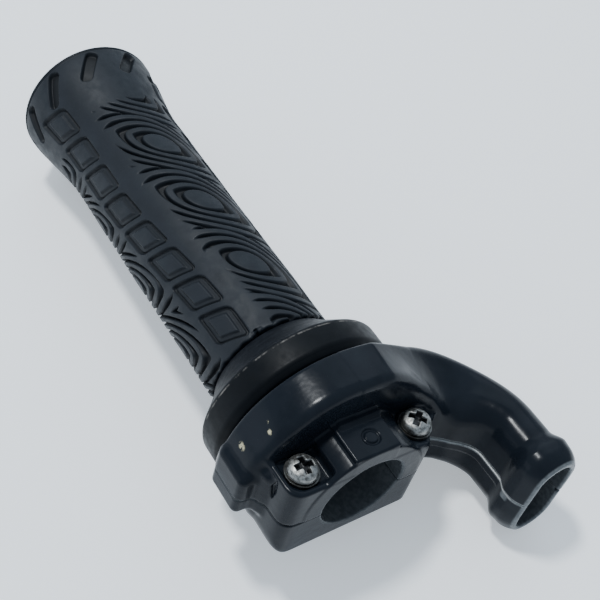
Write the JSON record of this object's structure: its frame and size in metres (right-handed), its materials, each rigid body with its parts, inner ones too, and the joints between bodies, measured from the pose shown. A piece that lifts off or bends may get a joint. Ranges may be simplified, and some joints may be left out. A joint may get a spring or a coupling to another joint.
{
  "type": "throttle grip",
  "caption": "Motorcycle twist throttle: rubber grip on a tube that turns in a split handlebar clamp housing with a curved cable elbow.",
  "frame": {"origin": "centre of the handlebar bore at the clamp housing's inboard face", "axes": "+X along the handlebar towards the middle of the motorcycle, +Y the way the cable elbow leaves the housing, +Z out of the seam towards the clamp screws' heads"},
  "size_m": [0.1754, 0.0781, 0.0516],
  "materials": {
    "housing_paint": "gloss black paint, worn at the edges",
    "steel": "worn zinc",
    "brass": "satin",
    "nylon": "matt",
    "matt_plastic": "matt black",
    "rubber": "matt slate black",
    "aluminium": "satin"
  },
  "bodies": {
    "housing": {"housing_upper": "housing_paint", "housing_lower": "housing_paint", "clamp_screw_left": "steel", "clamp_screw_right": "steel", "screw_washer_left": "steel", "screw_washer_right": "steel", "thread_insert_left": "brass", "thread_insert_right": "brass", "locating_dowel_ear": "steel", "locating_dowel_elbow": "steel", "cable_conduit_open": "nylon", "cable_conduit_close": "nylon", "ferrule_seat": "matt_plastic", "thrust_washer_outer": "nylon", "thrust_washer_inner": "nylon"},
    "twist_grip": {"throttle_tube": "matt_plastic", "cable_drum": "aluminium", "drum_pin_a": "steel", "drum_pin_b": "steel", "dust_collar": "matt_plastic", "grip_sleeve": "rubber", "end_ring": "rubber", "tube_end_plug": "matt_plastic"}
  },
  "joints": [
    {"name": "throttle_twist", "type": "hinge", "parent": "housing", "child": "twist_grip", "pos_m": [0, 0, 0], "axis": [-1, 0, 0], "range_deg": [0, 80]}
  ]
}
